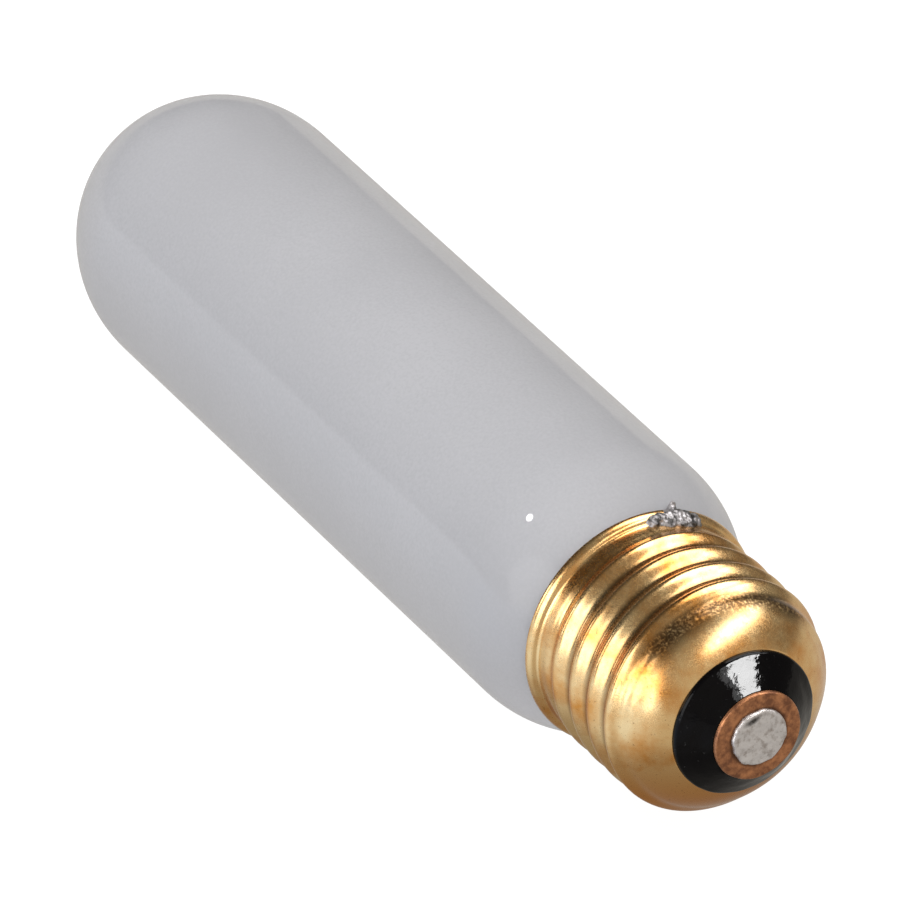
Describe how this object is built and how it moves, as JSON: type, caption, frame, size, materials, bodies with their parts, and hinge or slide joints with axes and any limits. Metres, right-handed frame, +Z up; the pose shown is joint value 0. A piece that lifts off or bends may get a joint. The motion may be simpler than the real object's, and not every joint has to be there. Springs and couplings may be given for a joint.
{
  "type": "light bulb",
  "caption": "Frosted tubular incandescent light bulb on a brass medium screw base, with a black glass insulator and a soldered centre contact.",
  "frame": {"origin": "centre of the contact face, on the bulb's axis", "axes": "+X along the bulb's axis, out of the contact face and into a holder; the glass runs along -X; +Z is up with the bulb lying on its side"},
  "size_m": [0.133, 0.0318, 0.0318],
  "materials": {
    "frosted_glass": "inside-frosted white, glossy outside",
    "brass_sheet": "bright rolled brass, lightly tarnished",
    "black_glass": "glossy black",
    "copper": "satin, oxidised copper",
    "solder": "dull grey, slightly rough",
    "cement": "baked, chalky",
    "lead_wire": "copper-clad wire"
  },
  "bodies": {
    "root": {"glass_envelope": "frosted_glass", "screw_shell": "brass_sheet", "base_insulator": "black_glass", "contact_eyelet": "copper", "tip_solder": "solder", "side_solder": "solder", "basing_cement": "cement", "centre_lead": "lead_wire", "side_lead": "lead_wire"}
  },
  "joints": []
}
